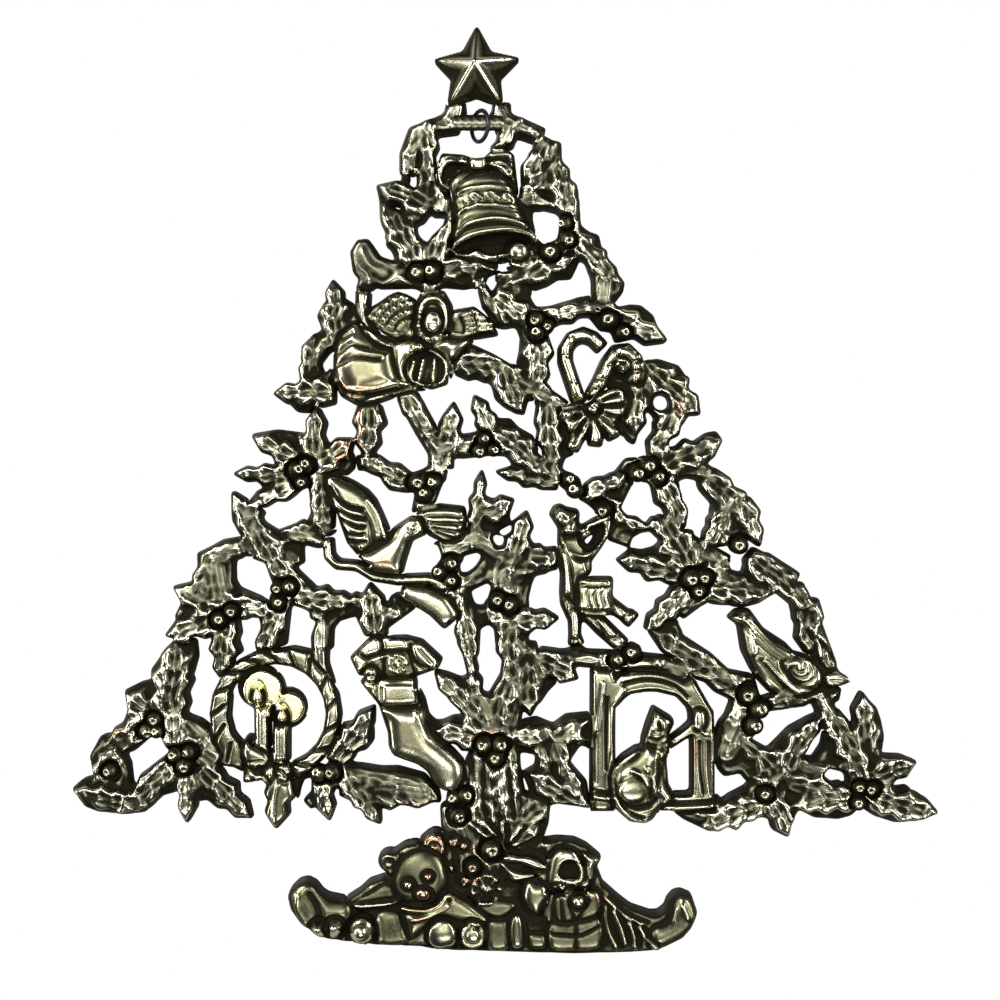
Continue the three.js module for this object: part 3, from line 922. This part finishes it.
spray("base_tray", [
  plate([
    [-47.2, -200], [-46.5, -198], [-44.5, -196], [-42.5, -195.5], [-40.5, -196.5], [-39, -198.5],
    [-37.5, -199.5], [-32.5, -200.5], [-27, -196.4], [-22.6, -194.4], [-22.8, -188.6], [-20, -188.4],
    [-17, -187.2],
    [-14.6, -185.8], [-12.6, -184], [-11, -183.1], [-9.2, -183.3], [-7, -184.6], [15.7, -185.8],
    [20, -185.3], [24, -185.6], [27, -187], [30.6, -190], [29.4, -192.4],
    [31, -196.5], [35, -200], [38, -202.3], [43, -204], [45, -203.9], [46.8, -202.5], [47.5, -200.5],
    [48.8, -199], [50.5, -198.5], [53, -199.5], [54.5, -204], [53, -207.5], [51, -210], [45, -212.9],
    [38, -213.4], [24, -213.8], [8, -213.3], [-10, -212.9], [-15, -212], [-28, -211.5], [-39, -209.8],
    [-44, -206.5],
    [-46.5, -203],
  ], { front: BACK_PLATE }),
  dome([[-25.5, -203.6], [-19.8, -203.6], [-19.2, -210.6], [-25.3, -210.6]], [-22.4, -207],
    { rim: BACK_PLATE, front: BASE_DEPTH, crown: 0.8 }),
  dome([[31.6, -200.4], [34, -200], [39, -204], [42, -208], [38, -212], [31.8, -211.8]], [35.6, -206],
    { rim: BACK_PLATE, front: BASE_DEPTH + 0.6, crown: 0.6 }),
  boss(-39, -205.6, 3, { wall: BASE_DEPTH, rise: 1.2, sides: 12 }),
], OLD_BRASS);

// Openings through the sprays

const openings = [
  [[-3.2, -1.5], [-0.4, 0], [3.2, -2.3], [3.2, -3.8], [0, -5.1], [-2.8, -4]],
  [[-16, -19.7], [-15, -20.3], [-15, -22.5], [-15.7, -23.8], [-17.5, -22]],
  [[9.3, -15], [9.6, -11.5], [11.8, -10.8], [14.3, -13], [12, -15.5], [10, -17.3]],
  [[-15.6, -32.3], [-14, -31.7], [-10.8, -30], [-7.7, -30], [-8.5, -32.5], [-12, -35.9], [-15, -35.2]],
  [[13.2, -28.8], [16.5, -28.2], [19.8, -29], [20.9, -30.5], [20, -36], [16.5, -37.6], [15.2, -36],
  [14.2, -32]],
  [[12.6, -50], [16.5, -47.8], [20, -45.5], [23, -45.7], [25.5, -40.6], [27, -41.7], [28.5, -46],
    [28.6, -48.7], [24, -51], [18, -52.7], [14.8, -53]],
  [[3.8, -42.5], [8.3, -43], [8.2, -44.2], [5.5, -44.4]],
  [[1.7, -46.7], [5, -46], [4.8, -47.5], [3.5, -49.4]],
  [[-8.8, -47.5], [-3.5, -48], [-1, -47.5], [1.2, -52], [-5, -53.8], [-7, -50.3]],
  [[-26, -48], [-16, -47.7], [-14.2, -49], [-15.2, -51], [-20, -49.2], [-24.5, -52], [-26.8, -53.2]],
  [[-35.6, -63.6], [-36, -66], [-37.3, -69.3], [-39, -69.3], [-38, -66.5]],
  [[-2.2, -62], [2, -60.3], [5.2, -59.8], [6.2, -57.8], [9.8, -59], [10.2, -63.5], [9, -67.8], [3.7, -64.7]],
  circle(45.6, -76.7, 2.3, 8),
  [[-4.6, -119.5], [-4.8, -117], [-2.5, -114.7], [0.5, -114.7], [0.9, -115.7], [-0.5, -117.8],
  [-2.5, -119.3]],
  [[-2, -124], [2.5, -121.3], [3.6, -122.6], [2.6, -126], [0, -127.4], [-1.3, -126.5]],
  [[38.3, -97], [42.5, -96.2], [43.5, -97.5], [43.5, -105], [42, -107.3], [39.5, -105.2], [37, -105],
  [35.3, -103]],
  [[38, -112.4], [42, -109.3], [45.2, -110.3], [45.7, -111.5], [43, -112.6], [40.5, -113.3]],
  [[49.7, -97.3], [54.5, -97.3], [58.7, -102], [56.8, -106], [56, -110.8], [54.8, -110.3], [52.8, -105]],
  [[-54.3, -105], [-50, -102], [-47, -100.7], [-44, -98], [-42.8, -98.3], [-42, -104], [-45, -106.8],
    [-50, -108.7], [-53.5, -106.5]],
  [[-35.8, -113], [-34.3, -108.3], [-32, -112], [-29.7, -114.5], [-34, -115.2]],
  [[-18.6, -118.5], [-17.2, -114.8], [-10, -111.6], [-8.8, -115], [-9.3, -116.3], [-13, -119.5]],
  [[-15.5, -127.7], [-12.8, -129], [-6.7, -132.8], [-6, -135], [-3.6, -139.5], [-2.2, -145.3], [-8, -144],
    [-8.8, -140.5], [-14, -136], [-22.7, -134.8], [-22.8, -133]],
  [[-61, -118], [-58.5, -114.7], [-56, -115], [-51.2, -122], [-51, -124.5], [-54, -125], [-60, -122.5]],
  [[-59, -131], [-55.3, -131.5], [-53.8, -132.8], [-57, -139.5], [-59, -139.7]],
  [[-47, -128], [-45.5, -127.3], [-43.5, -130], [-40, -131], [-41.5, -135], [-42, -138.4], [-48, -137.3]],
  [[-82, -160], [-78.8, -160], [-76.8, -164], [-84, -169.5], [-85.7, -173.7], [-86.8, -167], [-88, -165.3]],
  [[0.4, -133], [3.5, -133], [4.8, -139.5], [5.3, -142], [3.8, -145.2], [3, -149.7], [0.8, -148.8],
    [1.5, -143], [0.1, -139]],
  [[-13.5, -146.5], [-12, -144.8], [-10, -148], [-3, -154.8], [-6, -154.8], [-8.8, -156.1], [-11, -156.1]],
  [[22.6, -166.2], [25.5, -162], [27.6, -162.5], [27.7, -170.5], [27, -171.4], [24, -168]],
  [[10.2, -163.6], [14.6, -164.4], [14.4, -167.4], [11.6, -169], [13.4, -174.4], [11.6, -174.4],
  [10.6, -170]],
  [[3.6, -109.2], [7, -110.2], [6.4, -112.6], [4.6, -112.8], [3.4, -111]],
  [[62.5, -115], [66.5, -116], [66.6, -118], [62.8, -118.8]],
  [[67.8, -128], [74.3, -123.8], [78.3, -127], [79.1, -133], [76.5, -136.2], [71, -132.8]],
  [[50, -131.5], [56, -127], [63.5, -127], [62.5, -130], [65.3, -134], [68.6, -144.7], [62.5, -143.5],
    [58, -139.3], [51, -134.8]],
  [[54, -146], [60, -150.5], [63.3, -151.5], [60.5, -156], [58, -153]],
  [[67.5, -160.5], [71.5, -157.7], [72.8, -153.5], [83.6, -152], [82, -155.3], [78, -157.7], [72.5, -163.3]],
  [[85, -159], [86.2, -161.5], [83, -165], [81, -165.3], [83, -161.3]],
  [[87.5, -167.6], [91.3, -169.8], [91.5, -171], [88.5, -171.9], [85.8, -169.5]],
  [[58.6, -167.3], [61.3, -169.9], [65.5, -169], [67.3, -172.5], [63.5, -174.2], [60.5, -176.6]],
];

// Cutting each piece back to its neighbours

function bounds(outline) {
  return new THREE.Box2().setFromPoints(outline.map((point) => new THREE.Vector2(...point)));
}

// The largest connected body of a solid, without the slivers that a cut can leave beside it.
function mainBody(solid) {
  const whole = toGeometry(solid);
  const position = whole.attributes.position;
  const index = whole.index.array;
  const owner = Array.from({ length: position.count }, (_, i) => i);
  const root = (i) => {
    let at = i;
    while (owner[at] !== at) at = owner[at];
    owner[i] = at;
    return at;
  };
  for (let i = 0; i < index.length; i += 3) {
    owner[root(index[i + 1])] = root(index[i]);
    owner[root(index[i + 2])] = root(index[i]);
  }
  const size = new Map();
  const corner = (i) => new THREE.Vector3().fromBufferAttribute(position, i);
  for (let i = 0; i < index.length; i += 3) {
    const volume = corner(index[i]).dot(corner(index[i + 1]).cross(corner(index[i + 2])));
    size.set(root(index[i]), (size.get(root(index[i])) ?? 0) + volume);
  }
  const [largest] = [...size.entries()].sort((a, b) => b[1] - a[1])[0];
  const kept = [];
  for (let i = 0; i < index.length; i += 3) {
    if (root(index[i]) === largest) kept.push(index[i], index[i + 1], index[i + 2]);
  }
  const geometry = new THREE.BufferGeometry();
  geometry.setAttribute("position", position);
  geometry.setIndex(kept);
  return geometry;
}

const group = new THREE.Group();
const relievedParts = [];
for (const piece of [...figures, ...sprays]) {
  let solid = piece.parts.map((part) => part.build()).reduce((sum, next) => sum.add(next));
  const boxes = piece.parts.map((part) => bounds(part.outline).expandByScalar(JOINT_LINE));
  const touches = (box) => boxes.some((own) => own.intersectsBox(box));
  relievedParts.filter(({ box }) => touches(box)).forEach(({ part }) => {
    solid = solid.subtract(part.cut(JOINT_LINE));
  });
  if (sprays.includes(piece)) {
    openings.filter((outline) => touches(bounds(outline))).forEach((outline) => {
      solid = solid.subtract(cutterOf(outline, 0));
    });
  }
  const material = new THREE.MeshStandardMaterial({ color: piece.colour, roughness: 0.34, metalness: 0.9 });
  const mesh = new THREE.Mesh(mainBody(solid), material);
  mesh.name = piece.name;
  mesh.geometry.scale(STRETCH_X, 1, STRETCH_Z);
  mesh.geometry.computeVertexNormals();
  group.add(mesh);
  relievedParts.push(...piece.parts.map((part) => ({ part, box: bounds(part.outline) })));
}

// Black wire jump ring, hung round the bar and turned on it
const ring = new THREE.Mesh(
  new THREE.TorusGeometry(RING_MEAN_RADIUS, WIRE_RADIUS, 6, 20),
  new THREE.MeshStandardMaterial({ color: BLACK_WIRE, roughness: 0.5, metalness: 0.7 }),
);
ring.name = "hanging_ring";
const ringTop = BAR_DRAWN_Z * STRETCH_Z + BAR_HALF_HEIGHT + CLEARANCE;
ring.position.set(0.5, BAR_CENTRE_Y, ringTop - RING_MEAN_RADIUS + WIRE_RADIUS);
ring.rotation.z = RING_YAW - Math.PI / 2;
ring.rotation.order = "ZXY";
ring.rotation.x = Math.PI / 2;
group.add(ring);

export default group;
